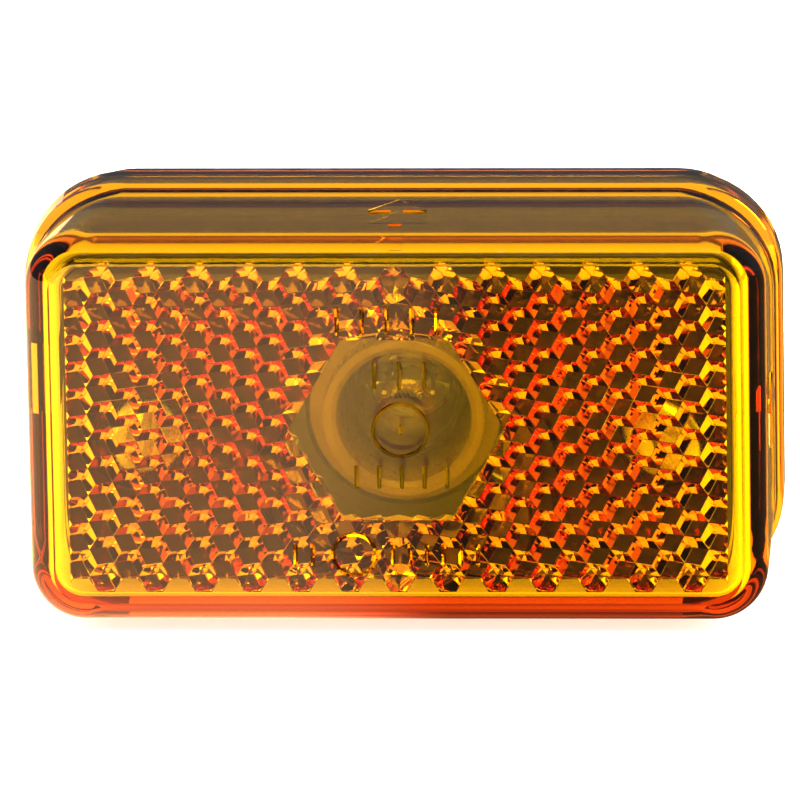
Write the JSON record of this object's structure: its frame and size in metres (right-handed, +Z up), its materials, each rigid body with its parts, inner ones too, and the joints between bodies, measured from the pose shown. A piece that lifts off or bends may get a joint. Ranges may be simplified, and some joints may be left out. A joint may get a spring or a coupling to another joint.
{
  "type": "side marker lamp",
  "caption": "Rectangular amber side marker lamp with a prism reflector, a push-on lens, a plug-in bulb holder and a wedge-base bulb.",
  "frame": {"origin": "centre of the mounting plane, the back of the foam pad, which lies against the vehicle panel", "axes": "+X along the lamp to the right as seen from its front, +Z up, the lens faces -Y and +Y goes into the panel"},
  "size_m": [0.0674, 0.049, 0.0378],
  "materials": {
    "amber_lens": "clear amber acrylic, polished",
    "black_rubber": "moulded rubber",
    "black_plastic": "spark-textured moulding",
    "foam_rubber": "closed-cell foam",
    "zinc_steel": "zinc plated",
    "pale_plastic": "satin moulding",
    "brass_strip": "stamped strip",
    "clear_glass": "clear",
    "tungsten": "drawn wire",
    "lead_wire": "drawn wire"
  },
  "bodies": {
    "base": {"base_housing": "black_plastic", "lens_seal": "black_rubber", "mounting_pad": "foam_rubber", "mounting_screw_left": "zinc_steel", "mounting_screw_right": "zinc_steel", "screw_washer_left": "black_rubber", "screw_washer_right": "black_rubber"},
    "lens": {"lens_cover": "amber_lens"},
    "holder": {"holder_body": "pale_plastic", "holder_ring": "black_rubber", "contact_strip_upper": "brass_strip", "contact_strip_lower": "brass_strip"},
    "bulb": {"bulb_glass": "clear_glass", "bulb_wedge": "clear_glass", "filament": "tungsten", "lead_wire_left": "lead_wire", "lead_wire_right": "lead_wire"}
  },
  "joints": [
    {"name": "lens_pull", "type": "slide", "parent": "base", "child": "lens", "axis": [0, -1, 0], "range_m": [0, 0.03]},
    {"name": "holder_pull", "type": "slide", "parent": "base", "child": "holder", "axis": [0, 1, 0], "range_m": [0, 0.024]},
    {"name": "bulb_pull", "type": "slide", "parent": "holder", "child": "bulb", "axis": [0, -1, 0], "range_m": [0, 0.008]}
  ]
}
